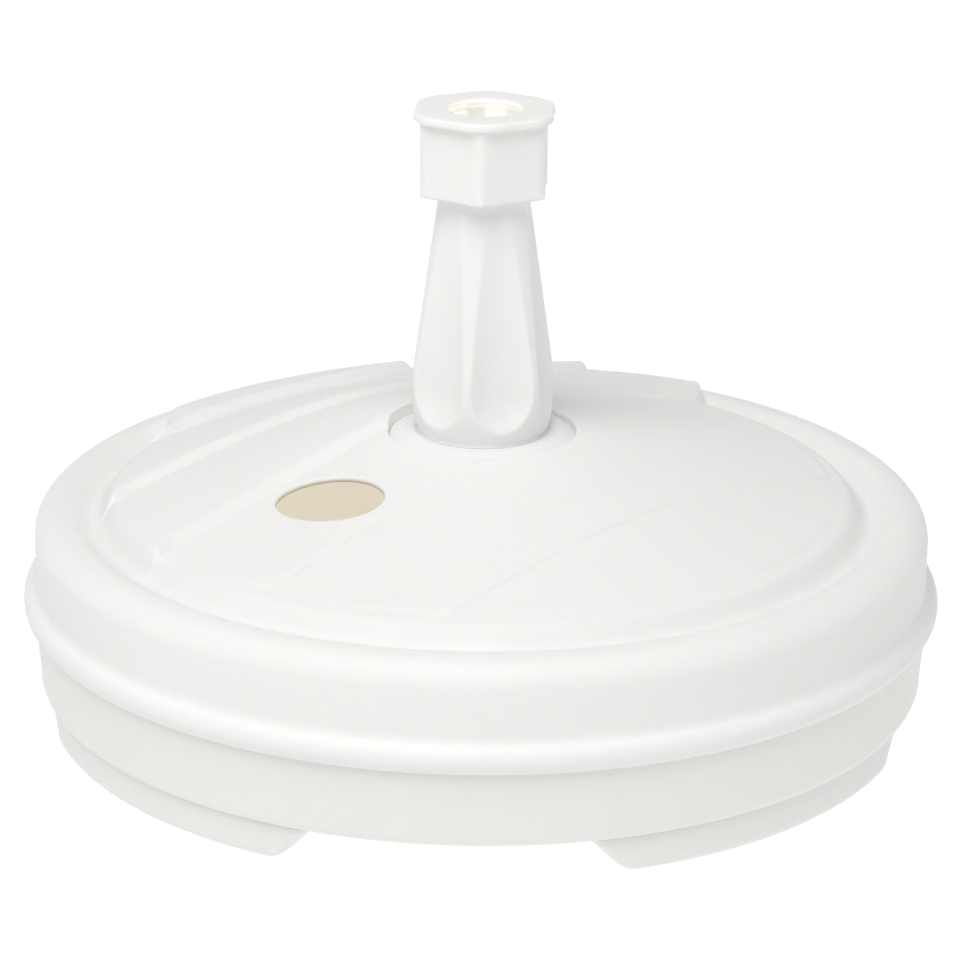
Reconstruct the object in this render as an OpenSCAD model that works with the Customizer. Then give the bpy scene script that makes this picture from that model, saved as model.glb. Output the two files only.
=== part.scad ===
// Fillable round parasol base with a fluted socket post and a screw clamp for the pole.
// Origin: on the ground, on the axis of the post. +Z is up, the front is -Y. Millimetres.

/* [Tank] */
// Radius of the upper wall
tank_r = 243; // [238:1:248]
// Radius of the rolled bead's section
bead_r = 8; // [7:0.5:9]
// Height of the bead's centre
bead_z = 68.5; // [66:0.5:71]
// Thickness of the moulded walls
wall = 3; // [2.5:0.1:3.5]
// Height of the shoulder's crest
crest_z = 118; // [116:0.5:120]
// Radius of the deck inside the valley
deck_r = 195; // [192:1:198]
// Height of the deck at its outer edge
deck_edge_z = 123; // [121:0.5:124]
// Height of the deck where it meets the socket recess
deck_top_z = 157; // [156:0.5:158]

/* [Relief] */
// Direction that the relief lines run in
relief_angle = 44; // [40:1:50]
// Height of the three large steps
step_h = 4.5; // [3:0.5:5]
// Distance from one step to the next
step_pitch = 76; // [72:1:84]
// Place of the first large step
step_start = 37; // [34:1:42]

/* [Feet] */
// Height of the feet
foot_h = 20; // [16:1:22]
// Outer radius of the feet
foot_r = 238; // [234:1:239]
// Radial width of a foot
foot_w = 40; // [34:1:44]
// Angle that one foot covers
foot_span = 56; // [48:1:60]

/* [Fill hole] */
// Length of the oval fill hole
fill_len = 60; // [50:1:62]
// Width of the oval fill hole
fill_wid = 45; // [42:1:50]

/* [Post] */
// Height of the clamp nut's top face
top_z = 335; // [330:1:340]
// Radius of the bore that takes the pole
bore_r = 19.5; // [18:0.1:20]
// Inner radius of the open clamp
grip_r = 19.3; // [19.2:0.1:19.4]
// Radius of the post's neck under the nut
neck_r = 24.6; // [24.4:0.1:25.4]
// Largest radius of the post
post_r = 39.3; // [38:0.1:40]
// Depth of a flute at its deepest
flute_d = 8.3; // [6:0.1:9]

/* [Clamp] */
// Radius over the nut's ribs
nut_r = 37; // [36.5:0.1:38]
// Radius over the nut's flange
flange_r = 39; // [38.5:0.1:42]
// Height of the nut
nut_h = 45; // [43:0.5:46]
// Number of fingers in the clamp collet
fingers = 6; // [6]

/* [Hidden] */
$fn = 96;
gap = 0.4;

// Tank
white = [0.95, 0.945, 0.935];
cream = [0.94, 0.93, 0.90];
grey = [0.35, 0.35, 0.36];
floor_z = foot_h;
shoulder_r = 14;
shoulder_c = tank_r - shoulder_r;
valley_r = 209;
valley_z = 114;
split_r = shoulder_c - 7;
split_z = crest_z - 0.6;
plate_r = 217;
plate_from = 70;
last_from = -45;
seal_z = bead_z + 0.2;
lip_r = tank_r + 3.6;
deck_slope = (deck_top_z - deck_edge_z) / (deck_r - 51);

// Socket
recess_r = 51;
ledge_z = 153;
hole_r = 42;
insert_r = 49.4;
insert_top = 157.5;
cup_r = 41.4;
cup_z = 123;
spigot_r = 31.5;
lug_r = 35.3;
groove_r = lug_r + 0.5;
groove_top = 137;
lug_z = 129;
lug_h = 5.5;
lug_angle = 30;
slot_angle = 38;
tube_r = bore_r + 2;
column_r = tube_r + 0.7;
column_top = 120;

// Feet
foot_angles = [-48.7, 41.3, 131.3, 221.3];
foot_round = 5;
end_slope = 42;
end_angle = 8;

// Post
post_z = insert_top + gap;
bulge_z = 184;
bulge_r = 80;
taper_z = 197;
neck_z = 284;
sleeve_z = 296;
sleeve_top = 313;
sleeve_r = 26.2;
post_bore = tube_r + 0.5;
seat_z = 298;
seat_r = 23.6;
flute_r = 38;
flute_bottom = 188;
first_rib = -102.5;
tube_bottom = floor_z + wall + gap;

// Clamp
nut_z = top_z - nut_h;
flange_h = 4.8;
nut_bore = sleeve_r + 0.4;
ring_bore = 27.6;
first_lobe = -93;
finger_z = 305;
finger_angle = 30;
first_finger = 74;
head_z = 320;
head_top = 328.6;
head_r = 25.4;
head_slope = 0.45;

// Points of an arc about [c, z], from angle a0 to a1
function arc(c, z, r, a0, a1, n = 8) =
    [for (i = [0 : n]) let (a = a0 + (a1 - a0) * i / n) [c + r * cos(a), z + r * sin(a)]];

// Radius of the post's skin at a height on its taper
function taper_r(z) = neck_r + (neck_z - z) * (bulge_skin(taper_z) - neck_r) / (neck_z - taper_z);

// Radius of the post's skin at a height on its bulge
function bulge_skin(z) = post_r - bulge_r + sqrt(bulge_r * bulge_r - pow(z - bulge_z, 2));

// Turns what is drawn so that X runs along the relief lines
module along_relief() {
    rotate([0, 0, relief_angle]) children();
}

// Skin of the deck as a thick cone, long enough to reach the shoulder
module deck_cone() {
    far_r = 230;
    far_z = deck_edge_z - (far_r - deck_r) * deck_slope;
    near_r = 20;
    near_z = deck_top_z + (recess_r - near_r) * deck_slope;
    rotate_extrude()
        polygon([[near_r, near_z - 8], [far_r, far_z - 8], [far_r, far_z], [near_r, near_z]]);
}

// Raised plate of the deck: steps up at u0 and sinks back into the deck at u1
module relief_plate(u0, u1) {
    sink = atan(step_h / (u1 - u0));
    pivot_z = 140;
    intersection() {
        along_relief()
            translate([0, u0, pivot_z])
                rotate([-sink, 0, 0])
                    translate([0, -u0, -pivot_z + step_h])
                        rotate([0, 0, -relief_angle])
                            deck_cone();
        along_relief()
            translate([-240, u0, 100])
                cube([480, u1 - u0, 80]);
        union() {
            cylinder(h = 200, r = deck_r);
            intersection() {
                cylinder(h = 200, r = plate_r);
                along_relief() {
                    translate([plate_from, -240, 0]) cube([200, 480, 200]);
                    translate([last_from, step_start + 2 * step_pitch, 0]) cube([200, 100, 200]);
                }
            }
        }
    }
}

// Low ridge that marks one of the small relief lines of the front half
module relief_line(u) {
    intersection() {
        along_relief()
            translate([0, u, 140])
                rotate([3, 0, 0])
                    translate([0, -u, -139])
                        rotate([0, 0, -relief_angle])
                            deck_cone();
        along_relief()
            translate([-240, u - 40, 100])
                cube([480, 40, 80]);
        cylinder(h = 200, r = deck_r);
    }
}

// Oval prism of the fill hole
module fill_cutter() {
    translate([-79.5, -76, 100])
        rotate([0, 0, -25])
            linear_extrude(80)
                polygon([for (a = [0 : 10 : 350]) [fill_len / 2 * cos(a), fill_wid / 2 * sin(a)]]);
}

// Middle of the upper half of the tank, out to the valley. It is one moulding with upper_shell
module deck() {
    skin = [[hole_r, ledge_z], [recess_r, ledge_z], [recess_r, deck_top_z], [deck_r, deck_edge_z],
            [deck_r + 7, valley_z + 2.5], [valley_r, valley_z], [split_r, split_z],
            [split_r, split_z - wall], [valley_r, valley_z - wall], [deck_r + 5, valley_z + 2 - wall],
            [deck_r - 2, deck_edge_z - wall], [recess_r + 4, deck_top_z - wall - 1],
            [recess_r + 4, ledge_z - wall], [hole_r, ledge_z - wall]];
    color(white)
        difference() {
            union() {
                rotate_extrude() polygon(skin);
                difference() {
                    union() {
                        relief_plate(step_start, step_start + step_pitch);
                        relief_plate(step_start + step_pitch, step_start + 2 * step_pitch);
                        relief_plate(step_start + 2 * step_pitch, step_start + 3 * step_pitch);
                        relief_line(step_start - step_pitch);
                        relief_line(step_start - 2 * step_pitch);
                    }
                    cylinder(h = 200, r = recess_r);
                }
            }
            fill_cutter();
        }
}

// Rim of the upper half of the tank: shoulder, wall and rolled bead
module upper_shell() {
    outside = concat(
        [[split_r, split_z]],
        arc(shoulder_c, crest_z - shoulder_r, shoulder_r, 90, 0),
        [[tank_r, bead_z + bead_r - 0.4]],
        arc(tank_r - 1, bead_z, bead_r, 72, -50, 12));
    inside = concat(
        [[lip_r, bead_z - 5], [lip_r, bead_z + 2.7], [tank_r - wall, bead_z + 2.7]],
        arc(shoulder_c, crest_z - shoulder_r, shoulder_r - wall, 0, 90),
        [[split_r, split_z - wall]]);
    color(white) rotate_extrude() polygon(concat(outside, inside));
}

module lower_tank() {
    corner = 5.5;
    outside = concat(
        [[0, floor_z]],
        arc(tank_r - 1 - corner, floor_z + corner, corner, -90, 0, 5),
        [[tank_r + 1.5, bead_z - 6], [tank_r + 1.5, seal_z]]);
    inside = concat(
        [[tank_r + 1.5 - wall, seal_z], [tank_r + 1.5 - wall, bead_z - 6]],
        arc(tank_r - 1 - corner, floor_z + corner, corner - wall, 0, -90, 5),
        [[column_r + wall, floor_z + wall], [column_r + wall, column_top]],
        [[column_r, column_top], [column_r, floor_z + wall], [0, floor_z + wall]]);
    color(cream) rotate_extrude() polygon(concat(outside, inside));
}

// Rubber ring between the lower tank's rim and the upper shell's channel
module rim_seal() {
    color(grey)
        translate([0, 0, seal_z])
            difference() {
                cylinder(h = 2.5, r = tank_r + 2);
                translate([0, 0, -1]) cylinder(h = 5, r = tank_r - 2);
            }
}

// Rubber ring between the column's top and the socket insert
module column_seal() {
    color(grey)
        translate([0, 0, column_top])
            difference() {
                cylinder(h = cup_z - column_top, r = column_r + wall);
                translate([0, 0, -1]) cylinder(h = 6, r = column_r + 0.1);
            }
}

// Wedge-shaped ring sector about the axis, centred on angle a
module sector(r_in, r_out, z, h, a, span) {
    rotate([0, 0, a - span / 2])
        rotate_extrude(angle = span)
            translate([r_in, z]) square([r_out - r_in, h]);
}

// Bayonet socket that is let into the middle of the deck
module socket_insert() {
    flange = [[spigot_r + 0.5, insert_top], [insert_r - 5.4, insert_top], [insert_r, ledge_z + 1.2],
              [insert_r, ledge_z], [cup_r, ledge_z]];
    cup = [[cup_r, cup_z], [column_r + wall + 3.5, cup_z], [column_r + wall + 3.5, cup_z - 11],
           [column_r + wall + 0.5, cup_z - 11], [column_r + wall + 0.5, cup_z]];
    bore = [[column_r, cup_z], [column_r, cup_z + wall], [groove_r, cup_z + wall],
            [groove_r, groove_top], [spigot_r + 0.5, groove_top]];
    color(white)
        difference() {
            rotate_extrude() polygon(concat(flange, cup, bore));
            for (i = [0 : 2])
                sector(spigot_r - 1, groove_r - 0.1, groove_top - 1, 30, 90 + 120 * i, slot_angle);
        }
}

// One hollow foot, open at the top, where it meets the tank's floor
module foot(a) {
    skin = concat(
        arc(foot_r - foot_w + foot_round, foot_round, foot_round, 180, 270, 4),
        arc(foot_r - foot_round, foot_round, foot_round, -90, 0, 4),
        [[foot_r, foot_h], [foot_r - foot_w, foot_h]]);
    color(cream)
        rotate([0, 0, a])
            difference() {
                rotate([0, 0, -foot_span / 2])
                    rotate_extrude(angle = foot_span) polygon(skin);
                rotate([0, 0, end_angle - foot_span / 2])
                    rotate_extrude(angle = foot_span - 2 * end_angle)
                        translate([foot_r - foot_w + wall, wall])
                            square([foot_w - 2 * wall, foot_h]);
                for (s = [-1, 1])
                    rotate([0, 0, s * foot_span / 2])
                        translate([foot_r - foot_w - 5, 0, foot_h])
                            rotate([-s * end_slope, 0, 0])
                                translate([0, s > 0 ? 0 : -30, -60])
                                    cube([foot_w + 10, 30, 80]);
            }
}

// Straight tube that carries the pole from the clamp down to the tank's floor
module pole_tube() {
    color(white)
        translate([0, 0, tube_bottom])
            difference() {
                cylinder(h = seat_z - gap - tube_bottom, r = tube_r);
                translate([0, 0, -1]) cylinder(h = 300, r = bore_r);
            }
}

// Rounded cutter for one flute: a slanted bar with a ball end that stops at the neck
module flute_cutter() {
    floor_r = post_r - flute_d;
    lean = atan((floor_r - neck_r + 0.4) / (neck_z - flute_bottom));
    bar_l = (neck_z - flute_bottom) / cos(lean) + 1;
    translate([floor_r + flute_r * cos(lean), 0, flute_bottom])
        rotate([0, -lean, 0])
            rotate_extrude()
                polygon(concat([[0, bar_l], [0, -flute_r]], arc(0, 0, flute_r, -84, 0, 14), [[flute_r, bar_l]]));
}

module socket_post() {
    bottom = cup_z + wall + 0.6;
    skin = concat(
        [[post_bore, bottom], [spigot_r, bottom], [spigot_r, post_z], [36.5, post_z]],
        [[36.5, post_z + 3]],
        [for (i = [0 : 8]) let (z = post_z + 4 + (taper_z - post_z - 4) * i / 8) [bulge_skin(z), z]],
        [[neck_r, neck_z], [neck_r, sleeve_z - 2], [sleeve_r, sleeve_z], [sleeve_r, sleeve_top]],
        [[seat_r, sleeve_top], [seat_r, seat_z], [post_bore, seat_z]]);
    color(white) {
        difference() {
            rotate_extrude() polygon(skin);
            for (i = [0 : 5])
                rotate([0, 0, first_rib + 30 + 60 * i]) flute_cutter();
        }
        for (i = [0 : 2])
            sector(spigot_r - 1, lug_r, lug_z, lug_h, 90 + 120 * i, lug_angle);
    }
}

// Root ring of the split collet, seated in the post
module collet_ring() {
    color(cream)
        translate([0, 0, seat_z])
            difference() {
                cylinder(h = finger_z - seat_z, r = seat_r);
                translate([0, 0, -1]) cylinder(h = 20, r = grip_r);
            }
}

// One finger of the split collet, with a wedge-shaped head
module collet_finger(i) {
    head_end = head_r - head_slope * (head_top - head_z);
    skin = [[grip_r, finger_z + gap], [22, finger_z + gap], [22, head_z - 2], [head_r - 0.8, head_z - 1.5],
            [head_r, head_z], [head_end, head_top], [grip_r, head_top]];
    color(cream)
        rotate([0, 0, first_finger + 60 * i - finger_angle / 2])
            rotate_extrude(angle = finger_angle) polygon(skin);
}

// Ring with an inner cone that presses the fingers in without turning
module thrust_ring() {
    under = top_z - flange_h - gap;
    low_r = head_r + 0.8;
    high_r = low_r - head_slope * (under - head_z);
    color(cream)
        rotate_extrude()
            polygon([[low_r, head_z], [ring_bore - gap, head_z], [ring_bore - gap, under], [high_r, under]]);
}

// Round outline with six shallow scallops between its lobes
module lobed(r, low, scallop) {
    difference() {
        circle(r = r);
        for (i = [0 : 5])
            rotate(first_lobe + 30 + 60 * i)
                translate([low + scallop, 0]) circle(r = scallop);
    }
}

module clamp_nut() {
    color(white)
        translate([0, 0, nut_z])
            difference() {
                union() {
                    linear_extrude(nut_h - 1) lobed(nut_r, nut_r - 4.7, 200);
                    translate([0, 0, nut_h - flange_h]) linear_extrude(flange_h) lobed(flange_r, flange_r - 3, 45);
                }
                translate([0, 0, -1]) cylinder(h = 5.5, r = nut_bore + 2);
                cylinder(h = 22, r = nut_bore);
                translate([0, 0, 21]) cylinder(h = nut_h - flange_h - 21, r = ring_bore);
                translate([0, 0, nut_h - flange_h - 0.1]) cylinder(h = 2.6, r1 = bore_r + 3.1, r2 = bore_r + 0.5);
                translate([0, 0, 30]) cylinder(h = 20, r = bore_r + 0.5);
            }
}

lower_tank();
deck();
upper_shell();
rim_seal();
column_seal();
socket_insert();
foot(foot_angles[0]);  // foot_front_right
foot(foot_angles[1]);  // foot_back_right
foot(foot_angles[2]);  // foot_back_left
foot(foot_angles[3]);  // foot_front_left
pole_tube();
socket_post();
collet_ring();
collet_finger(0);  // collet_finger_1
collet_finger(1);  // collet_finger_2
collet_finger(2);  // collet_finger_3
collet_finger(3);  // collet_finger_4
collet_finger(4);  // collet_finger_5
collet_finger(5);  // collet_finger_6
thrust_ring();
clamp_nut();
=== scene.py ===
"""Looks of the parasol base: moulded meshes, plastics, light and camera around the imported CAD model.

Shapes are worked out in millimetres about the post's axis and turned into metres when a mesh is made.
Plan angles run from +X towards +Y. The front of the object faces -Y.
"""

import math

import bmesh
import bpy
from mathutils import Matrix, Vector
from mathutils.geometry import delaunay_2d_cdt


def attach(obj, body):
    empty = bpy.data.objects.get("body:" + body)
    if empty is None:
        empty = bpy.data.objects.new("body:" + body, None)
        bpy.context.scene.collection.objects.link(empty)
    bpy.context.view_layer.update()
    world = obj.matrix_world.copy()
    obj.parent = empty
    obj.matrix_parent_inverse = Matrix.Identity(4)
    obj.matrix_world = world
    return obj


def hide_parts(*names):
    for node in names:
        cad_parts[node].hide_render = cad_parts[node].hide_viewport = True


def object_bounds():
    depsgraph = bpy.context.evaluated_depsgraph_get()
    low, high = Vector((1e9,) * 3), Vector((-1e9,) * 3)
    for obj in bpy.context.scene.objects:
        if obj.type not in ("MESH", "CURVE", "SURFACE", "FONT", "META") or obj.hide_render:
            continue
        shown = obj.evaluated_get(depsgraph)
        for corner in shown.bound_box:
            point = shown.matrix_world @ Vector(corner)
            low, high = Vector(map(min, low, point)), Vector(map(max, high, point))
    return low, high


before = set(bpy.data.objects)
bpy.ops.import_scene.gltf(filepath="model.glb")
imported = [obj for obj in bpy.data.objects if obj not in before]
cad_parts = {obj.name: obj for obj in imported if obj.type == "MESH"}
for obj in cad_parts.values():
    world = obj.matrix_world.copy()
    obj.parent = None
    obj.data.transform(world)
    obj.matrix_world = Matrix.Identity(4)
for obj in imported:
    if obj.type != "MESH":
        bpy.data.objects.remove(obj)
cad_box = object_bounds()
MM = 0.001
TAU = 2 * math.pi

# Sizes shared by several pieces
OUTER_R = round(cad_box[1][0] / MM, 1)   # over the bead
TOP_Z = round(cad_box[1][2] / MM, 1)     # top of the nut
WALL = 3.0                               # thickness of the tank's moulding
FLOOR_Z = 20.0                           # underside of the tank, where the feet begin
PITCH = 4.0                              # of the thread between post and nut
THREAD_STEEPNESS = 5.2


# ---------------------------------------------------------------- small maths

def smooth(a, b, x):
    """0 before a, 1 after b, and a smooth rise between them."""
    t = min(1.0, max(0.0, (x - a) / (b - a)))
    return t * t * (3 - 2 * t)


def soft_min(a, b, k):
    """The smaller of a and b, with a fillet of about k where they cross."""
    h = max(0.0, k - abs(a - b)) / k
    return min(a, b) - h * h * k / 4


def polar(r, a):
    """Plan point at a radius and an angle in radians."""
    return r * math.cos(a), r * math.sin(a)


def steps(a, b, n):
    """n + 1 even steps from a to b."""
    return [a + (b - a) * i / n for i in range(n + 1)]


def arc(cx, cy, r, a0, a1, n):
    """n + 1 points of an arc about (cx, cy), with its angles in degrees."""
    angles = [math.radians(a) for a in steps(a0, a1, n)]
    return [(cx + r * math.cos(a), cy + r * math.sin(a)) for a in angles]


def rounded(corners, n, hold):
    """Closed outline through (x, y, fillet radius) corners, with a point at hold beside each fillet."""
    out = []
    for i, (x, y, r) in enumerate(corners):
        if r == 0:
            out.append((x, y))
            continue
        corner = Vector((x, y))
        before = Vector(corners[i - 1][:2]) - corner
        after = Vector(corners[(i + 1) % len(corners)][:2]) - corner
        half = before.angle(after) / 2
        reach = min(r / math.tan(half), before.length * 0.45, after.length * 0.45)
        before.normalize()
        after.normalize()
        middle = corner + (before + after).normalized() * (reach / math.cos(half))
        first = corner + before * reach
        last = corner + after * reach
        a = first - middle
        b = last - middle
        turn = a.angle(b)
        out.append(tuple(first + before * hold))
        for t in steps(0.0, 1.0, n):
            spoke = (a * math.sin((1 - t) * turn) + b * math.sin(t * turn)) / math.sin(turn)
            out.append(tuple(middle + spoke))
        out.append(tuple(last + after * hold))
    return out


def scalloped(a, first, centre, scallop):
    """Radius at angle a of six round hollows, which lie between ribs. None where a rib stands."""
    off = math.radians((math.degrees(a) - first) % 60 - 30)
    inside = scallop ** 2 - (centre * math.sin(off)) ** 2
    if inside <= 0:
        return None
    return centre * math.cos(off) - math.sqrt(inside)


def thread(z, a):
    """0 in the grooves and 1 on the ridges of the thread."""
    phase = (z / PITCH - a / TAU) % 1.0
    return min(1.0, max(0.0, 1.9 - abs(phase - 0.5) * THREAD_STEEPNESS))


# ---------------------------------------------------------------- mesh makers

def make(name, verts, faces, material, body, replaced=(), sharp=None, inside=None, lining=None):
    """A mesh object in metres that rides on a body. Faces that inside() picks get the lining's material."""
    mesh = bpy.data.meshes.new(name)
    mesh.from_pydata([(x * MM, y * MM, z * MM) for x, y, z in verts], [], faces)
    bm = bmesh.new()
    bm.from_mesh(mesh)
    bmesh.ops.remove_doubles(bm, verts=bm.verts, dist=1e-6)
    bmesh.ops.recalc_face_normals(bm, faces=bm.faces)
    bm.to_mesh(mesh)
    bm.free()
    mesh.validate()
    mesh.shade_smooth()
    if sharp:
        mesh.set_sharp_from_angle(angle=math.radians(sharp))
    mesh.materials.append(material)
    if inside:
        mesh.materials.append(lining)
        for face in mesh.polygons:
            face.material_index = int(inside(face.center / MM, face.normal))
    obj = bpy.data.objects.new(name, mesh)
    bpy.context.scene.collection.objects.link(obj)
    if replaced:
        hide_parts(*replaced)
    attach(obj, body)


def grid(rows, columns, point, close_rows=True):
    """Vertices and quads of a grid whose points come from point(row, column). Each row is a closed ring."""
    verts = [point(i, j) for i in range(rows) for j in range(columns)]
    faces = []
    for i in range(rows if close_rows else rows - 1):
        this = i * columns
        following = (i + 1) % rows * columns
        for j in range(columns):
            k = (j + 1) % columns
            faces.append((this + j, this + k, following + k, following + j))
    return verts, faces


def bar(rows, columns, point):
    """A grid whose first and last rings are closed by flat ends."""
    verts, faces = grid(rows, columns, point, close_rows=False)
    faces.append(tuple(range(columns)))
    faces.append(tuple(range(len(verts) - columns, len(verts))))
    return verts, faces


def turned(profile, columns, radius=None, close_rows=True):
    """A lathe mesh. radius(i, r, z, angle) may change the radius of a profile point."""
    def point(i, j):
        r, z = profile[i]
        a = TAU * j / columns
        if radius:
            r = radius(i, r, z, a)
        return (*polar(r, a), z)
    return grid(len(profile), columns, point, close_rows)


def bridge(faces, ring_a, ring_b):
    """Add the quads between two rings with the same number of points."""
    for k in range(len(ring_a)):
        n = (k + 1) % len(ring_a)
        faces.append((ring_a[k], ring_a[n], ring_b[n], ring_b[k]))


def run(verts, faces, ring, rows, drops=False):
    """Add a ring for each (radius, height) or (radius, drop) row, bridged in turn. Returns the last."""
    last = ring
    for r, height in rows:
        start = len(verts)
        for k in ring:
            x, y, z = verts[k]
            grow = r / math.hypot(x, y)
            verts.append((x * grow, y * grow, z - height if drops else height))
        new = list(range(start, len(verts)))
        bridge(faces, last, new)
        last = new
    return last


# ---------------------------------------------------------------- materials

def feed(tree, node, inputs):
    """Link each named input of a node to a socket, or set it to a plain value."""
    for name, value in inputs.items():
        if isinstance(value, bpy.types.NodeSocket):
            tree.links.new(value, node.inputs[name])
        else:
            node.inputs[name].default_value = value


def add_node(tree, kind, inputs):
    """A new node with its inputs fed."""
    node = tree.nodes.new(kind)
    feed(tree, node, inputs)
    return node


def noise(tree, where, scale, detail, roughness=0.5):
    """Noise from 0 to 1 over the coordinates."""
    inputs = {"Vector": where, "Scale": scale, "Detail": detail, "Roughness": roughness}
    return add_node(tree, "ShaderNodeTexNoise", inputs).outputs["Fac"]


def ranged(tree, source, low, high, a=0.3, b=0.7):
    """A value that goes from low to high while the source goes from a to b."""
    inputs = {"Value": source, "From Min": a, "From Max": b, "To Min": low, "To Max": high}
    return add_node(tree, "ShaderNodeMapRange", inputs).outputs["Result"]


def mixed(tree, a, b, factor, blend="MIX"):
    """Two colours mixed by a factor."""
    node = tree.nodes.new("ShaderNodeMix")
    node.data_type = "RGBA"
    node.blend_type = blend
    feed(tree, node, {"A": a, "B": b, "Factor": factor})
    return node.outputs["Result"]


def bump(tree, height, strength, distance):
    """A bump node over a height."""
    inputs = {"Height": height, "Strength": strength, "Distance": distance}
    return add_node(tree, "ShaderNodeBump", inputs)


def new_material(name):
    """A material with its node tree and its shader."""
    material = bpy.data.materials.new(name)
    material.use_nodes = True
    tree = material.node_tree
    return material, tree, tree.nodes["Principled BSDF"]


def plastic_colour(tree, where, colour, tint):
    """A slight drift of tint, and fine handling marks that darken it."""
    low = [c * (1 - tint * (0.8 + 0.2 * k)) for k, c in enumerate(colour)]
    clouds = noise(tree, where, scale=9.0, detail=3.0)
    drift = mixed(tree, (*low, 1), (*colour, 1), ranged(tree, clouds, 0.0, 1.0))
    rubs = noise(tree, where, scale=55.0, detail=6.0, roughness=0.7)
    marks = ranged(tree, rubs, 1.0, 1 - tint, a=0.56, b=0.72)
    dust = add_node(tree, "ShaderNodeCombineColor", {"Red": marks, "Green": marks, "Blue": marks})
    return mixed(tree, drift, dust.outputs["Color"], 1.0, "MULTIPLY")


def plastic_surface(tree, where, grain):
    """Shallow sink waves under a fine mould grain."""
    slow = noise(tree, where, scale=14.0, detail=1.0)
    quick = noise(tree, where, scale=2600.0, detail=2.0, roughness=0.6)
    waves = bump(tree, slow, strength=0.25, distance=0.0006)
    fine = bump(tree, quick, strength=grain, distance=0.00005)
    tree.links.new(waves.outputs["Normal"], fine.inputs["Normal"])
    return fine.outputs["Normal"]


def plastic(name, colour, rough, grain, tint=0.02, depth=0.0, glow=0.0):
    """Moulded plastic. depth is the share of light that scatters in it. glow is painted light: an even
    emission that stands for light coming through it.
    """
    material, tree, shader = new_material(name)
    where = tree.nodes.new("ShaderNodeTexCoord").outputs["Object"]
    wear = noise(tree, where, scale=38.0, detail=5.0, roughness=0.6)
    feed(tree, shader, {
        "Base Color": plastic_colour(tree, where, colour, tint),
        "Roughness": ranged(tree, wear, rough - 0.06, rough + 0.08),
        "Normal": plastic_surface(tree, where, grain),
        "Emission Color": (*[c / colour[0] for c in colour], 1),
        "Emission Strength": glow,
        "Subsurface Weight": depth,
    })
    if depth:
        feed(tree, shader, {"Subsurface Radius": (1.0, 0.85, 0.6), "Subsurface Scale": 0.004})
    return material


deck_white = plastic("deck_white", (0.872, 0.869, 0.862), rough=0.58, grain=0.35, tint=0.012, depth=0.25)
bowl_white = plastic("bowl_white", (0.874, 0.868, 0.850), rough=0.56, grain=0.45, tint=0.015, depth=0.25)
post_white = plastic("post_white", (0.876, 0.873, 0.866), rough=0.48, grain=0.25, tint=0.012, depth=0.25)
# The next three plastics glow: painted light that brightens their shaded insides, in place of light coming
# through the thin plastic.
clamp_glowing_white = plastic("clamp_glowing_white", (0.84, 0.825, 0.80), rough=0.48, grain=0.5, glow=0.3)
ring_glowing_cream = plastic("ring_glowing_cream", (0.82, 0.80, 0.75), rough=0.48, grain=0.5, glow=0.2)
inner_glowing_white = plastic("inner_glowing_white", (0.80, 0.77, 0.70), rough=0.5, grain=0.4, glow=0.21)
rubber = plastic("rubber", (0.028, 0.028, 0.03), rough=0.62, grain=0.9, tint=0.12)


def paint_cad_nodes():
    """Materials of the CAD nodes that are shown as they are."""
    looks = {"rim_seal": rubber, "column_seal": rubber, "pole_tube": post_white,
             "collet_ring": clamp_glowing_white, "thrust_ring": ring_glowing_cream}
    for i in range(1, 7):
        looks[f"collet_finger_{i}"] = clamp_glowing_white
    for node, material in looks.items():
        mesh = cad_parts[node].data
        mesh.materials.clear()
        mesh.materials.append(material)


paint_cad_nodes()


# ---------------------------------------------------------------- deck

RECESS_R = 51.0               # recess round the socket
RECESS_Z = 153.0              # floor of the recess
HUB_R = 42.0                  # hole in the middle of the recess
CONE_R = 199.0                # where the cone turns down into the valley
CONE_TOP = 157.0              # height of the cone at the recess
CONE_FALL = 34.0 / 144.0      # its fall for each millimetre outwards
VALLEY_Z = 110.5              # floor of the valley between cone and shoulder
VALLEY_RISE = 7.5             # from there to the shoulder
TANK_R = 243.0                # outside of the tank's wall
SHOULDER = (229.0, 104.0)     # centre of the shoulder's arc: radius and height
BEAD_R, BEAD_Z = 8.0, 68.5

# Relief lines: angle in degrees, distance from the axis, height, and how far it takes to sink back
PLATES = (
    (42.5, 113.0, 5.0, 75.0),
    (44.0, 36.5, 5.0, 120.0),
    (44.0, 185.5, 5.4, 75.0),
)
RIDGES = (
    (45.0, -36.0, 0.9, 43.0),
    (45.3, -124.0, 1.3, 46.0),
    (45.0, -203.0, 1.2, 40.0),
)
RIDGE_END_R = 192.6
GROOVE_SHARE, GROOVE_WIDTH = 0.3, 0.7   # groove before a ridge: depth as a share of the ridge, and width
FRONT_PLATE = 0.6             # rise of the deck in front of the first ridge
PLATE_OVERHANG = 20.0         # how far the back plates reach over the valley
PLATE_LIFT = 5.0              # how much higher their ends stand

HOLE = (-79.5, -76.0)         # middle of the fill hole
HOLE_TURN = math.radians(-25)
HOLE_LEN, HOLE_WID = 30.0, 22.5
LIP_R = 1.2                   # rounding of its edge

# The deck's plan is filled with triangles between these edges
PLAN_INNER_R, PLAN_INNER_N = RECESS_R + 1.5, 144
PLAN_OUTER_R, PLAN_OUTER_N = 226.0, 360
PLAN_HOLE_N = 120
HOLE_RINGS = (0.12, 0.4, 0.8, 1.3, 2.4, 4.2, 6.5)
LINE_ROWS = (-3.6, -2.2, -1.3, -0.7, -0.3, 0.0, 0.3, 0.7, 1.3, 2.1, 3.0, 4.0, 5.2, 6.6)
LINE_STEP = 3.0


def across(x, y, angle):
    """Distance of a point from the line through the axis at that angle, positive to its left."""
    a = math.radians(angle)
    return -math.sin(a) * x + math.cos(a) * y


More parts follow.
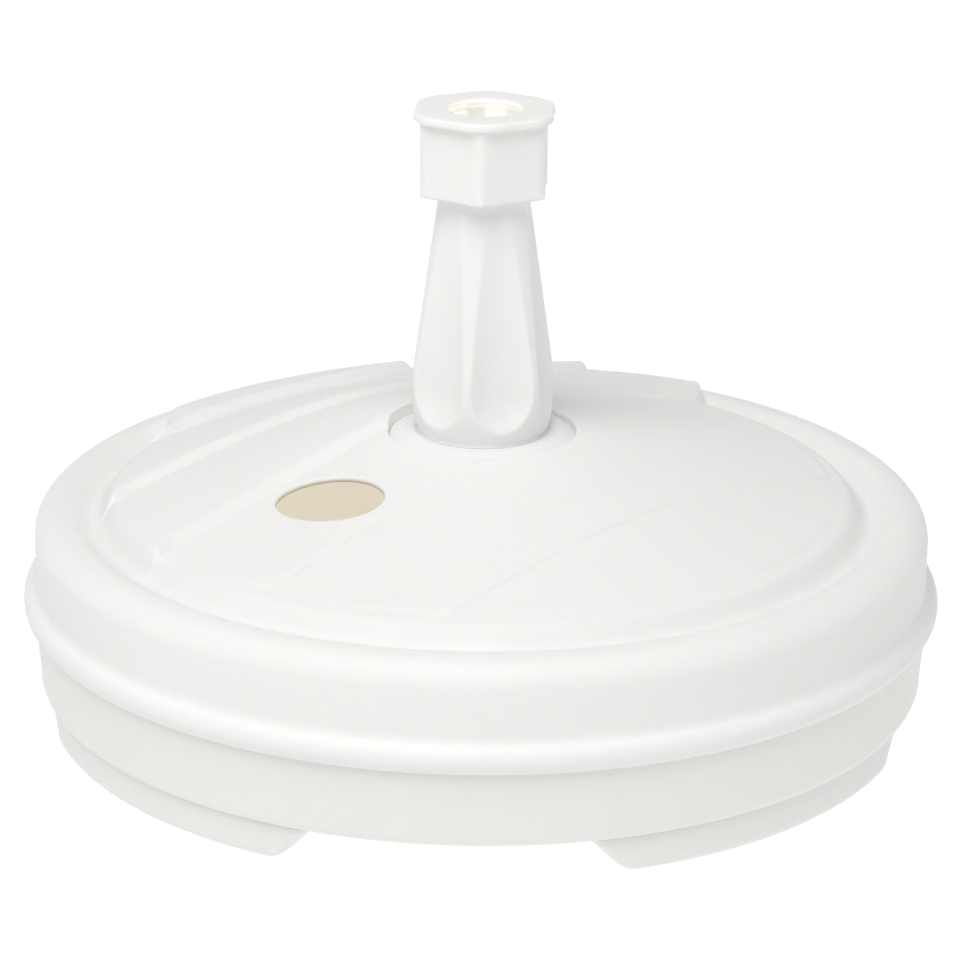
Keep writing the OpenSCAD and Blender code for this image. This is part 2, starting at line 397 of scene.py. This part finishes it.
def oval(t, grow=0.0):
    """Point of the fill hole's edge at parameter t, grown outwards."""
    x, y = (HOLE_LEN + grow) * math.cos(t), (HOLE_WID + grow) * math.sin(t)
    c, s = math.cos(HOLE_TURN), math.sin(HOLE_TURN)
    return HOLE[0] + c * x - s * y, HOLE[1] + s * x + c * y


def oval_gap(x, y):
    """Rough distance of a point from the fill hole's edge, below 0 inside it."""
    x, y = x - HOLE[0], y - HOLE[1]
    c, s = math.cos(HOLE_TURN), math.sin(HOLE_TURN)
    x, y = c * x + s * y, c * y - s * x
    size = math.hypot(x / HOLE_LEN, y / HOLE_WID)
    return (size - 1) * math.hypot(x, y) / max(size, 1e-6)


def lip_drop(gap):
    """How far the fill hole's rounded edge lies below the deck at that distance from the hole."""
    if gap >= LIP_R:
        return 0.0
    return LIP_R - math.sqrt(max(0.0, LIP_R ** 2 - (LIP_R - max(0.0, gap)) ** 2))


def near_line(x, y):
    """Whether the rows along a relief line already cover that point."""
    return any(-5.2 < across(x, y, angle) - place < 8.2 for angle, place, _, _ in PLATES + RIDGES)


def relief(x, y):
    """Height of the stepped plates and the fine ridges over the plain cone."""
    r = math.hypot(x, y)
    ends = 1 - smooth(RIDGE_END_R - 1.4, RIDGE_END_R, r)
    steep = max(smooth(185.0, 200.0, r), smooth(40.0, 120.0, across(x, y, -45.0)))
    total = FRONT_PLATE * ends * smooth(36.0, 39.0, -across(x, y, 45.0))
    for angle, place, height, length in PLATES:
        t = across(x, y, angle) - place
        if -3 < t < length:
            total += height * smooth(-1.5, 6.0 - 4.0 * steep, t) * (1 - max(0.0, t) / length)
    for angle, place, height, length in RIDGES:
        t = across(x, y, angle) - place
        if -3 < t < length:
            ridge = smooth(-0.3, 1.8, t) * (1 - max(0.0, t) / length)
            groove = GROOVE_SHARE * math.exp(-(t / GROOVE_WIDTH) ** 2)
            total += ends * height * (ridge - groove)
    return total


def overhang(x, y):
    """1 where the back plates run out over the valley, 0 elsewhere, and smooth between."""
    along = across(x, y, -45.0)
    place = across(x, y, 44.0)
    plate_ends = smooth(60.0, 100.0, along) * smooth(20.0, 40.0, place)
    last_plate = smooth(-62.0, -35.0, along) * smooth(177.0, 186.0, place)
    return max(plate_ends, last_plate)


def deck_height(x, y):
    """Height of the deck's upper surface out to the shoulder."""
    r = math.hypot(x, y)
    over = overhang(x, y)
    cone = CONE_TOP - (r - RECESS_R) * CONE_FALL + over * PLATE_LIFT * smooth(165.0, 222.0, r)
    inner = cone + relief(x, y)
    outer = VALLEY_Z + VALLEY_RISE * smooth(210.0, PLAN_OUTER_R, r)
    edge = CONE_R + PLATE_OVERHANG * over
    width = 12.0 - 8.0 * over
    z = inner + (outer - inner) * smooth(edge, edge + width, r)
    return z - lip_drop(oval_gap(x, y))


def line_points():
    """Staggered rows of plan points along the relief lines, closest together where the deck bends."""
    points = []
    for angle, place, _, _ in PLATES + RIDGES:
        a = math.radians(angle)
        for k, offset in enumerate(LINE_ROWS):
            for step in range(-76, 77):
                along = (step + 0.5 * (k % 2)) * LINE_STEP
                x = math.cos(a) * along - math.sin(a) * (place + offset)
                y = math.sin(a) * along + math.cos(a) * (place + offset)
                on_deck = PLAN_INNER_R + 1.2 < math.hypot(x, y) < PLAN_OUTER_R - 1.2
                if on_deck and oval_gap(x, y) > 7.5:
                    points.append((x, y))
    return points


def ring_points():
    """Rings of plan points over the rest of the deck, closest together at both of its edges."""
    points = []
    r = PLAN_INNER_R + 0.8
    while r < PLAN_OUTER_R - 1:
        n = PLAN_OUTER_N if r > 180 else max(90, round(TAU * r / 3.8))
        shift = 0.37 * (int(r * 10) % 3)
        for i in range(n):
            x, y = polar(r, TAU * (i + shift) / n)
            if not near_line(x, y) and oval_gap(x, y) > 8.0:
                points.append((x, y))
        r += 1.6 if r > 186 or r < 56 else 3.6
    return points


def deck_plan():
    """Points and triangles of the deck's plan, and its edge rings: inner, outer and fill hole."""
    points = [polar(PLAN_INNER_R, TAU * i / PLAN_INNER_N) for i in range(PLAN_INNER_N)]
    points += [polar(PLAN_OUTER_R, TAU * i / PLAN_OUTER_N) for i in range(PLAN_OUTER_N)]
    points += [oval(TAU * i / PLAN_HOLE_N) for i in range(PLAN_HOLE_N)]
    starts = (0, PLAN_INNER_N, PLAN_INNER_N + PLAN_OUTER_N, len(points))
    edges = []
    for a, b in zip(starts, starts[1:]):
        edges += [(i, i + 1 if i + 1 < b else a) for i in range(a, b)]
    for grow in HOLE_RINGS:
        shift = 0.5 if grow > 2 else 0.0
        points += [oval(TAU * (i + shift) / PLAN_HOLE_N, grow) for i in range(PLAN_HOLE_N)]
    points += line_points() + ring_points()
    made = delaunay_2d_cdt([Vector(p) for p in points], edges, [], 0, 1e-5)
    verts, tris, origin = made[0], made[2], made[3]

    kept = []
    for tri in tris:
        x = sum(verts[i].x for i in tri) / 3
        y = sum(verts[i].y for i in tri) / 3
        if PLAN_INNER_R * 0.9995 < math.hypot(x, y) < PLAN_OUTER_R and oval_gap(x, y) > -0.01:
            kept.append(tuple(tri))
    index = {}
    for new, olds in enumerate(origin):
        for old in olds:
            index[old] = new
    rings = [[index[i] for i in range(a, b)] for a, b in zip(starts, starts[1:])]
    return [(v.x, v.y) for v in verts], kept, rings


def shell_outline():
    """From the deck's edge over the shoulder, wall and bead, round the seal's channel and up inside."""
    shoulder_r = TANK_R - SHOULDER[0]
    inner_r = TANK_R - WALL
    outline = [(228.0, 117.97)] + arc(*SHOULDER, shoulder_r, 80, 0, 12)
    outline += [(TANK_R, 92.0), (TANK_R, 82.0), (243.1, 79.6), (243.6, 77.7), (244.6, 76.4)]
    outline += arc(OUTER_R - BEAD_R, BEAD_Z, BEAD_R, 58, -46, 14)
    outline += [(247.3, 62.5), (246.9, 62.5), (246.6, 62.9), (246.6, 71.0), (246.4, 71.2)]
    outline += [(inner_r + 0.4, 71.2), (inner_r, 71.6), (inner_r, 85.0)]
    outline += arc(*SHOULDER, shoulder_r - WALL, 0, 90, 8)
    return outline


def looks_into_tank(p, n):
    """Whether a face of the upper half, with its centre and normal, looks into the tank."""
    r = math.hypot(p.x, p.y)
    if r > 235.0:
        return r < 241.5 and p.z > 71.7 and n.x * p.x + n.y * p.y < 0
    return n.z < -0.2 and r > 52.0


def build_deck():
    """Upper half of the tank in one piece: deck, valley, shoulder, wall and bead."""
    plan, tris, (inner, outer, hole) = deck_plan()
    count = len(plan)
    verts = [(x, y, deck_height(x, y)) for x, y in plan]
    for x, y, z in verts[:count]:
        thinner = LIP_R * (1 - smooth(0.0, 1.3, oval_gap(x, y)))
        verts.append((x, y, z - WALL + thinner))
    faces = tris + [(c + count, b + count, a + count) for a, b, c in tris]

    last = run(verts, faces, outer, shell_outline())
    bridge(faces, last, [k + count for k in outer])

    lip = [(RECESS_R + 1.0, 0.08), (RECESS_R + 0.45, 0.42), (RECESS_R + 0.1, 0.95), (RECESS_R, 1.6)]
    recess = [(RECESS_R, RECESS_Z + 0.3), (RECESS_R - 0.3, RECESS_Z), (HUB_R + 0.3, RECESS_Z),
              (HUB_R, RECESS_Z - 0.3), (HUB_R, RECESS_Z - WALL + 0.3), (HUB_R + 0.3, RECESS_Z - WALL),
              (PLAN_INNER_R, RECESS_Z - WALL)]
    last = run(verts, faces, inner, lip, drops=True)
    last = run(verts, faces, last, recess)
    bridge(faces, last, [k + count for k in inner])
    bridge(faces, hole, [k + count for k in hole])
    # Faces that look into the tank get the lining, whose glow is painted light for light coming through the
    # walls.
    make("deck_shell", verts, faces, deck_white, "tank", ["deck", "upper_shell"],
         inside=looks_into_tank, lining=inner_glowing_white)


build_deck()


# ---------------------------------------------------------------- lower tank

def build_bowl():
    """Lower half of the tank with its centre column."""
    outside = [(0.0, FLOOR_Z), (60.0, FLOOR_Z), (180.0, FLOOR_Z)] + arc(236.5, 25.5, 5.5, -90, 0, 8)
    outside += [(242.2, 32.0), (244.3, 58.0), (244.5, 62.0), (244.5, 68.2), (244.1, 68.7)]
    inside = [(242.0, 68.7), (241.5, 68.2), (241.5, 62.5), (239.2, 32.0)]
    inside += arc(236.5, 25.5, 2.5, 0, -90, 5)
    inside += [(60.0, FLOOR_Z + WALL)] + arc(27.2, 25.0, 2.0, -90, -180, 4)
    column = [(25.2, 60.0), (25.2, 119.6), (24.8, 120.0), (22.6, 120.0), (22.2, 119.6), (22.2, 60.0),
              (22.2, 23.3), (21.9, 23.0), (0.0, 23.0)]
    verts, faces = turned(outside + inside + column, 288, close_rows=False)

    def holds_water(p, n):
        r = math.hypot(p.x, p.y)
        faces_in = r < 240 or n.x * p.x + n.y * p.y < 0
        return 25.0 < r < 241.9 and 22.9 < p.z < 119.5 and faces_in

    # The inner faces get the lining, whose glow is painted light for light coming through the walls.
    make("bowl", verts, faces, bowl_white, "tank", ["lower_tank"],
         inside=holds_water, lining=inner_glowing_white)


build_bowl()


# ---------------------------------------------------------------- feet

FOOT_R = 218.0                      # middle of a foot's width
FOOT_HALF_WIDTH = 20.0
FOOT_HALF_SPAN = math.radians(28.0)
FOOT_LEAN = math.tan(math.radians(42.0))
FOOT_FILLET = 5.0
# Rounding of an end: how far along the foot, and how much the section shrinks
FOOT_EASE = ((0.0, 0.0), (1.5, 0.2), (2.9, 0.8), (4.0, 1.8), (4.8, 3.1), (5.2, 5.2))
FOOT_ANGLES = {
    "foot_front_right": -48.7,
    "foot_back_right": 41.3,
    "foot_back_left": 131.3,
    "foot_front_left": 221.3,
}


def build_foot(name, angle):
    """A rounded bar round the tank's edge, with slanted, rounded ends."""
    outer_r, inner_r = FOOT_R + FOOT_HALF_WIDTH, FOOT_R - FOOT_HALF_WIDTH
    corners = [(outer_r, FLOOR_Z, 0.5), (outer_r, 0.0, FOOT_FILLET),
               (inner_r, 0.0, FOOT_FILLET), (inner_r, FLOOR_Z, 0.5)]
    section = rounded(corners, 6, 0.35)
    stations = [(-1.0, forward, shrink) for forward, shrink in reversed(FOOT_EASE)]
    stations += [(s, 0.0, 0.0) for s in steps(-1.0, 1.0, 48)[1:-1]]
    stations += [(1.0, forward, shrink) for forward, shrink in FOOT_EASE]

    def point(i, j):
        side, forward, shrink = stations[i]
        r, z = section[j]
        scale = 1 - shrink / FLOOR_Z
        r = FOOT_R + (r - FOOT_R) * scale
        z = FLOOR_Z - (FLOOR_Z - z) * scale
        short = FOOT_EASE[-1][0] - forward + (FLOOR_Z - z) * FOOT_LEAN
        return (*polar(r, angle + side * (FOOT_HALF_SPAN - short / FOOT_R)), z)

    verts, faces = bar(len(stations), len(section), point)
    make(name + "_mould", verts, faces, bowl_white, "tank", [name], sharp=50)


for foot, degrees in FOOT_ANGLES.items():
    build_foot(foot, math.radians(degrees))


# ---------------------------------------------------------------- socket

BAYONET_R = 32.0              # bore above the bayonet's groove
SLOT_R = 35.7                 # entry slots through that bore
GROOVE_TOP = 137.0


def build_socket():
    """Bayonet socket with three entry slots through its flange."""
    flange = [(BAYONET_R, 157.5, 0.5), (44.0, 157.5, 1.4), (50.3, 154.3, 0.5), (50.3, 153.02, 0.3)]
    cup = [(41.4, 153.02, 0), (41.4, 123.0, 1.0), (28.7, 123.0, 0.5), (28.7, 112.0, 0.4)]
    collar = [(25.7, 112.0, 0.4), (25.7, 123.0, 0), (22.2, 123.0, 0.3), (22.2, 126.0, 0.5)]
    groove = [(35.8, 126.0, 0.5), (35.8, GROOVE_TOP, 0.2), (BAYONET_R, GROOVE_TOP, 0.4)]
    profile = rounded(flange + cup + collar + groove, 3, 0.15)

    def radius(i, r, z, a):
        if z < GROOVE_TOP - 0.5 or r > 35.0:
            return r
        turn = (math.degrees(a) - 90) % 120
        off = min(turn, 120 - turn)
        return r + (SLOT_R - BAYONET_R) * (1 - smooth(18.0, 20.0, off))

    verts, faces = turned(profile, 360, radius)
    make("socket_cup", verts, faces, deck_white, "tank", ["socket_insert"])


build_socket()


# ---------------------------------------------------------------- post

NECK_R, NECK_Z = 24.6, 284.0
TAPER_Z = 197.0                     # the straight taper starts here
POST_R, BULGE_Z, BULGE_R = 39.3, 184.0, 80.0
POST_FOOT_Z, COLLAR_Z = 158.6, 160.0
FIRST_RIB = -102.5
FLUTE_R, FLUTE_FLOOR, FLUTE_Z = 38.0, 31.0, 186.5
THREAD_ROOT_R = 25.2
BORE_R = 22.0
SLEEVE_TOP = 313.0
LUG_HALF_SPAN = math.radians(15)


def bulge(z):
    """Radius of the post's rounded lower part."""
    return POST_R - BULGE_R + math.sqrt(BULGE_R ** 2 - (z - BULGE_Z) ** 2)


def post_skin(z):
    """Radius of the post without its flutes."""
    if z <= TAPER_Z:
        return bulge(z)
    return max(NECK_R, NECK_R + (NECK_Z - z) * (bulge(TAPER_Z) - NECK_R) / (NECK_Z - TAPER_Z))


def post_radius(z, a):
    """Radius of the fluted post. The flutes fade out at the neck and end round at the bottom."""
    skin = post_skin(z)
    lean = (FLUTE_FLOOR - NECK_R + 0.4) / (NECK_Z - FLUTE_Z)
    centre = FLUTE_FLOOR + FLUTE_R - max(0.0, z - FLUTE_Z) * lean
    below = max(0.0, FLUTE_Z - z)
    reach = math.sqrt(max(0.0, FLUTE_R ** 2 - below ** 2))
    flute = scalloped(a, FIRST_RIB, centre, reach)
    if flute is None or z < COLLAR_Z:
        return skin
    return soft_min(skin, flute, 1.1)


def build_post():
    """Fluted post with its threaded sleeve, bore and lower spigot."""
    heights = steps(POST_FOOT_Z, 164.0, 6) + steps(164.0, 180.0, 32)[1:] + steps(180.0, 286.0, 70)[1:]
    fluted = [(post_skin(z), z) for z in heights]
    neck = [(NECK_R, 290.0), (NECK_R, 293.2)]
    sleeve = [(THREAD_ROOT_R, 294.2 + 0.35 * i) for i in range(53)]
    rim = [(THREAD_ROOT_R, SLEEVE_TOP), (24.8, SLEEVE_TOP), (23.9, SLEEVE_TOP), (23.6, 312.7)]
    seat = [(23.6, 298.2), (23.4, 298.0), (22.2, 298.0), (BORE_R, 297.8)]
    bore = [(BORE_R, 200.0), (BORE_R, 126.9), (22.3, 126.6)]
    spigot = [(31.2, 126.6), (31.5, 126.9), (31.5, 140.0), (31.5, 157.4)]
    foot = [(31.8, 157.56), (36.4, 157.56), (36.6, 157.7), (36.6, 158.1)]
    profile = fluted + neck + sleeve + rim + seat + bore + spigot + foot
    thread_from = len(fluted) + len(neck)
    thread_to = thread_from + len(sleeve)

    def radius(i, r, z, a):
        if i < len(fluted):
            return post_radius(z, a)
        if thread_from <= i < thread_to:
            return r + thread(z, a) * smooth(294.4, 296.6, z) * (1 - smooth(311.0, 312.4, z))
        return r

    verts, faces = turned(profile, 360, radius)
    make("fluted_post", verts, faces, post_white, "post", ["socket_post"])


def build_lug(number):
    """One of the three bayonet lugs on the post's spigot, with eased ends."""
    corners = [(31.0, 129.0, 0), (35.3, 129.0, 0.6), (35.3, 134.5, 0.6), (31.0, 134.5, 0)]
    section = rounded(corners, 3, 0.1)
    middle = math.radians(90 + 120 * (number - 1))
    stations = steps(-1.0, 1.0, 24)

    def point(i, j):
        side = stations[i]
        r, z = section[j]
        ease = 0.8 * smooth(0.88, 1.0, abs(side))
        return (*polar(r - ease, middle + side * LUG_HALF_SPAN), z)

    verts, faces = bar(len(stations), len(section), point)
    make(f"bayonet_lug_{number}", verts, faces, post_white, "post", sharp=40)


build_post()
for lug in (1, 2, 3):
    build_lug(lug)


# ---------------------------------------------------------------- nut

FIRST_LOBE = -93.0
NUT_R, NUT_LOW, NUT_SCALLOP = 36.7, 32.3, 200.0
FLANGE_R, FLANGE_LOW, FLANGE_SCALLOP = 39.0, 36.7, 45.0
NUT_BASE_Z = 290.0
FLANGE_Z = 330.2
RIB_BASE, RIB_RISE = 0.3, 0.45      # height of the fine ribs, and how much more at both ends


def lobed(a, r, low, scallop, k):
    """Radius of a round outline with six shallow scallops between its lobes."""
    hollow = scalloped(a, FIRST_LOBE, low + scallop, scallop)
    if hollow is None:
        return r
    return soft_min(r, hollow, k)


def rib(z, a):
    """Height of the fine rib on each lobe."""
    off = abs((math.degrees(a) - FIRST_LOBE + 30) % 60 - 30)
    ends = 1 - smooth(292.2, 293.6, z) + smooth(326.4, 327.8, z)
    return (RIB_BASE + RIB_RISE * ends) * (1 - smooth(1.6, 2.4, off))


def nut_rows():
    """The nut's body and flange as (inset, height) rows, and its bore as (radius, height) rows."""
    body = [(1.8, NUT_BASE_Z), (1.0, 290.1), (0.35, 290.5), (0.0, 291.2)]
    body += [(0.0, z) for z in (291.9, 292.6, 293.3, 294.0, 300.0, 308.0, 316.0, 324.0)]
    body += [(0.0, z) for z in (326.0, 326.7, 327.4, 328.1, 328.8, 329.4)]
    body += [(-0.15, 329.9), (-0.6, FLANGE_Z)]
    flange = [(1.2, FLANGE_Z), (0.6, 330.3), (0.2, 330.6), (0.0, 331.2), (0.0, 333.4)]
    flange += [(0.25, 334.2), (0.8, 334.75), (1.6, TOP_Z), (4.0, TOP_Z)]
    mouth = [(30.0, TOP_Z), (25.0, TOP_Z), (21.2, TOP_Z), (20.5, 334.8), (20.1, 334.3), (20.0, 333.6)]
    mouth += [(20.0, 332.8), (22.6, FLANGE_Z), (27.3, FLANGE_Z), (27.6, 329.9), (27.6, 311.5), (27.2, 311.0)]
    threaded = [(26.6, 310.8 - 0.4 * i) for i in range(41)]
    skirt = [(28.3, 294.4), (28.6, 294.1), (28.6, 290.5), (29.1, NUT_BASE_Z), (31.0, NUT_BASE_Z)]
    return body, flange, mouth, threaded, skirt


def build_nut():
    """Lobed nut with a flange, fine ribs and a threaded bore."""
    body, flange, mouth, threaded, skirt = nut_rows()
    rows = body + flange + mouth + threaded + skirt
    flange_from = len(body)
    bore_from = flange_from + len(flange)
    thread_from = bore_from + len(mouth)
    thread_to = thread_from + len(threaded)
    columns = 720

    def point(i, j):
        a = TAU * j / columns
        r, z = rows[i]
        if i < flange_from:
            r = lobed(a, NUT_R, NUT_LOW, NUT_SCALLOP, 0.6) + rib(z, a) - r
        elif i < bore_from:
            r = lobed(a, FLANGE_R, FLANGE_LOW, FLANGE_SCALLOP, 4.0) - r
        elif thread_from <= i < thread_to:
            r += 0.7 * thread(z, a) * smooth(295.0, 296.2, z) * (1 - smooth(309.4, 310.8, z))
        return (*polar(r, a), z)

    def in_bore(p, n):
        return math.hypot(p.x, p.y) < 28.8 and 290.2 < p.z < 334.4

    verts, faces = grid(len(rows), columns, point)
    # The bore gets the glowing clamp plastic: painted light that brightens its shade.
    make("lobed_nut", verts, faces, post_white, "nut", ["clamp_nut"],
         inside=in_bore, lining=clamp_glowing_white)


build_nut()


# ---------------------------------------------------------------- stage, light and camera

SKY_WHITE = (1.0, 0.998, 0.994, 1)
SKY_LOW, SKY_HIGH = 0.88, 0.3                           # strength at the horizon and overhead
SKY_FRONT, SKY_LEFT, SKY_RIGHT = 0.65, 0.9, 0.9         # what remains of it towards each side
ELEVATION = math.radians(19.47)
DISTANCE = 1.90
ROLL = math.radians(0.44)
AIM_X, AIM_Z = -0.001, 0.127


def build_floor():
    """A plain white ground that gives its own light."""
    bpy.ops.mesh.primitive_plane_add(size=12, location=(0, 0, 0))
    floor = bpy.context.object
    floor.name = "floor"
    material, tree, shader = new_material("floor_white")
    feed(tree, shader, {
        "Base Color": (0.03, 0.03, 0.03, 1),
        "Roughness": 1.0,
        "Specular IOR Level": 0.0,
        "Emission Color": (1, 1, 1, 1),
        "Emission Strength": 1.0,
    })
    floor.data.materials.append(material)


def build_sky():
    """A studio sky that is brightest low down and at the back."""
    world = bpy.data.worlds.new("studio")
    bpy.context.scene.world = world
    world.use_nodes = True
    tree = world.node_tree
    where = tree.nodes.new("ShaderNodeTexCoord").outputs["Generated"]
    split = add_node(tree, "ShaderNodeSeparateXYZ", {"Vector": where}).outputs
    strength = ranged(tree, split["Z"], SKY_LOW, SKY_HIGH, 0.0, 1.0)
    for share in (
        ranged(tree, split["Y"], SKY_FRONT, 1.0, -1.0, 0.0),
        ranged(tree, split["X"], SKY_LEFT, 1.0, -1.0, 0.0),
        ranged(tree, split["X"], 1.0, SKY_RIGHT, 0.0, 1.0),
    ):
        product = tree.nodes.new("ShaderNodeMath")
        product.operation = "MULTIPLY"
        tree.links.new(strength, product.inputs[0])
        tree.links.new(share, product.inputs[1])
        strength = product.outputs["Value"]
    feed(tree, tree.nodes["Background"], {"Strength": strength, "Color": SKY_WHITE})


def soft_box(name, towards, distance, white, angle):
    """A round softbox that lies towards a direction. white is how bright it makes a white surface."""
    data = bpy.data.lights.new(name, "AREA")
    data.shape = "DISK"
    data.size = 2 * distance * math.tan(math.radians(angle / 2))
    data.energy = white * (math.pi * distance) ** 2
    light = bpy.data.objects.new(name, data)
    light.location = Vector(towards).normalized() * distance
    light.rotation_euler = Vector(towards).to_track_quat("Z", "Y").to_euler()
    bpy.context.scene.collection.objects.link(light)


def build_camera():
    """A long lens from the front and a little above."""
    data = bpy.data.cameras.new("camera")
    data.sensor_width = 36.0
    data.lens = 130.5
    camera = bpy.data.objects.new("camera", data)
    turn = Matrix.Rotation(math.pi / 2 - ELEVATION, 4, "X") @ Matrix.Rotation(ROLL, 4, "Z")
    place = Vector((AIM_X, -DISTANCE * math.cos(ELEVATION), AIM_Z + DISTANCE * math.sin(ELEVATION)))
    camera.matrix_world = Matrix.Translation(place) @ turn
    bpy.context.scene.collection.objects.link(camera)
    bpy.context.scene.camera = camera


build_floor()
build_sky()
soft_box("key", towards=(-0.08, -0.27, 0.54), distance=2.6, white=0.61, angle=40)
bpy.context.scene.view_settings.view_transform = "Standard"
build_camera()
